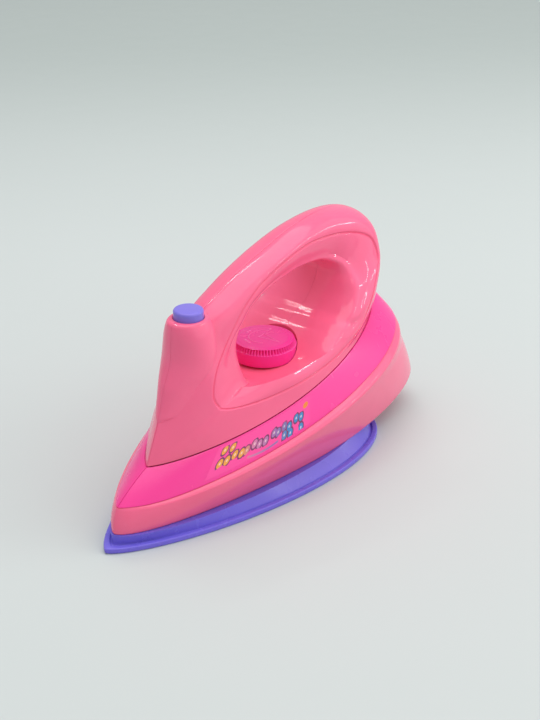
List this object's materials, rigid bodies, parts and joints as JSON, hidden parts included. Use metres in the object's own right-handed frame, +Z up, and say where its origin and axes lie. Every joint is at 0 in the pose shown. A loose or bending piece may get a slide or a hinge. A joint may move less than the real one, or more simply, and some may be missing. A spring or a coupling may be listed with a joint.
{
  "type": "toy iron",
  "caption": "Toy flat iron with a raised loop handle, a spring-return push button on the spout and a turning dial on the floor of the finger opening.",
  "frame": {"origin": "centre of the bounding box in plan, on the ground plane under the sole", "axes": "+X towards the nose, +Y towards the iron's own left side, which is the side that the picture shows, +Z up"},
  "size_m": [0.22, 0.0848, 0.1192],
  "materials": {
    "purple_plastic": "glossy moulded plastic",
    "violet_plastic": "glossy moulded plastic",
    "light_pink_plastic": "glossy moulded plastic",
    "hot_pink_plastic": "glossy moulded plastic",
    "dial_pink_plastic": "satin moulded plastic",
    "white_plastic": "moulded plastic",
    "green_board": "coated board",
    "black_plastic": "moulded plastic",
    "speaker_steel": "painted steel",
    "speaker_paper": "pressed paper",
    "cell_jacket": "printed jacket",
    "spring_steel": "drawn wire",
    "nickel_plate": "nickel plated",
    "screw_steel": "zinc plated",
    "red_lead": "insulated wire",
    "black_lead": "insulated wire",
    "yellow_lead": "insulated wire"
  },
  "bodies": {
    "housing": {"soleplate": "purple_plastic", "battery_door": "purple_plastic", "door_screw": "screw_steel", "sole_screws": "screw_steel", "lower_shell": "light_pink_plastic", "deck_left": "hot_pink_plastic", "deck_right": "hot_pink_plastic", "body_screws": "screw_steel", "handle_left": "light_pink_plastic", "handle_right": "light_pink_plastic", "handle_screws": "screw_steel", "button_spring": "spring_steel", "guide_plate": "white_plastic", "switch_board": "green_board", "press_switch": "black_plastic", "click_spring": "spring_steel", "battery_tray": "white_plastic", "tray_screws": "screw_steel", "battery_cells": "cell_jacket", "contact_springs": "spring_steel", "contact_plates": "nickel_plate", "sound_board": "green_board", "sound_chip": "black_plastic", "board_screws": "screw_steel", "speaker_frame": "speaker_steel", "speaker_cone": "speaker_paper", "battery_wires": "red_lead", "speaker_wires": "black_lead", "switch_wires": "yellow_lead"},
    "button": {"push_button": "violet_plastic"},
    "knob": {"dial": "dial_pink_plastic", "dial_washer": "nickel_plate", "dial_screw": "screw_steel"}
  },
  "joints": [
    {"name": "button_press", "type": "slide", "parent": "housing", "child": "button", "axis": [0, 0, -1], "range_m": [0, 0.0025], "stiffness_N_per_m": 400, "springref_m": -0.0008, "deforming": ["button_spring"]},
    {"name": "dial_turn", "type": "hinge", "parent": "housing", "child": "knob", "pos_m": [-0.003, 0, 0.057], "axis": [0, 0, 1], "continuous": true}
  ]
}
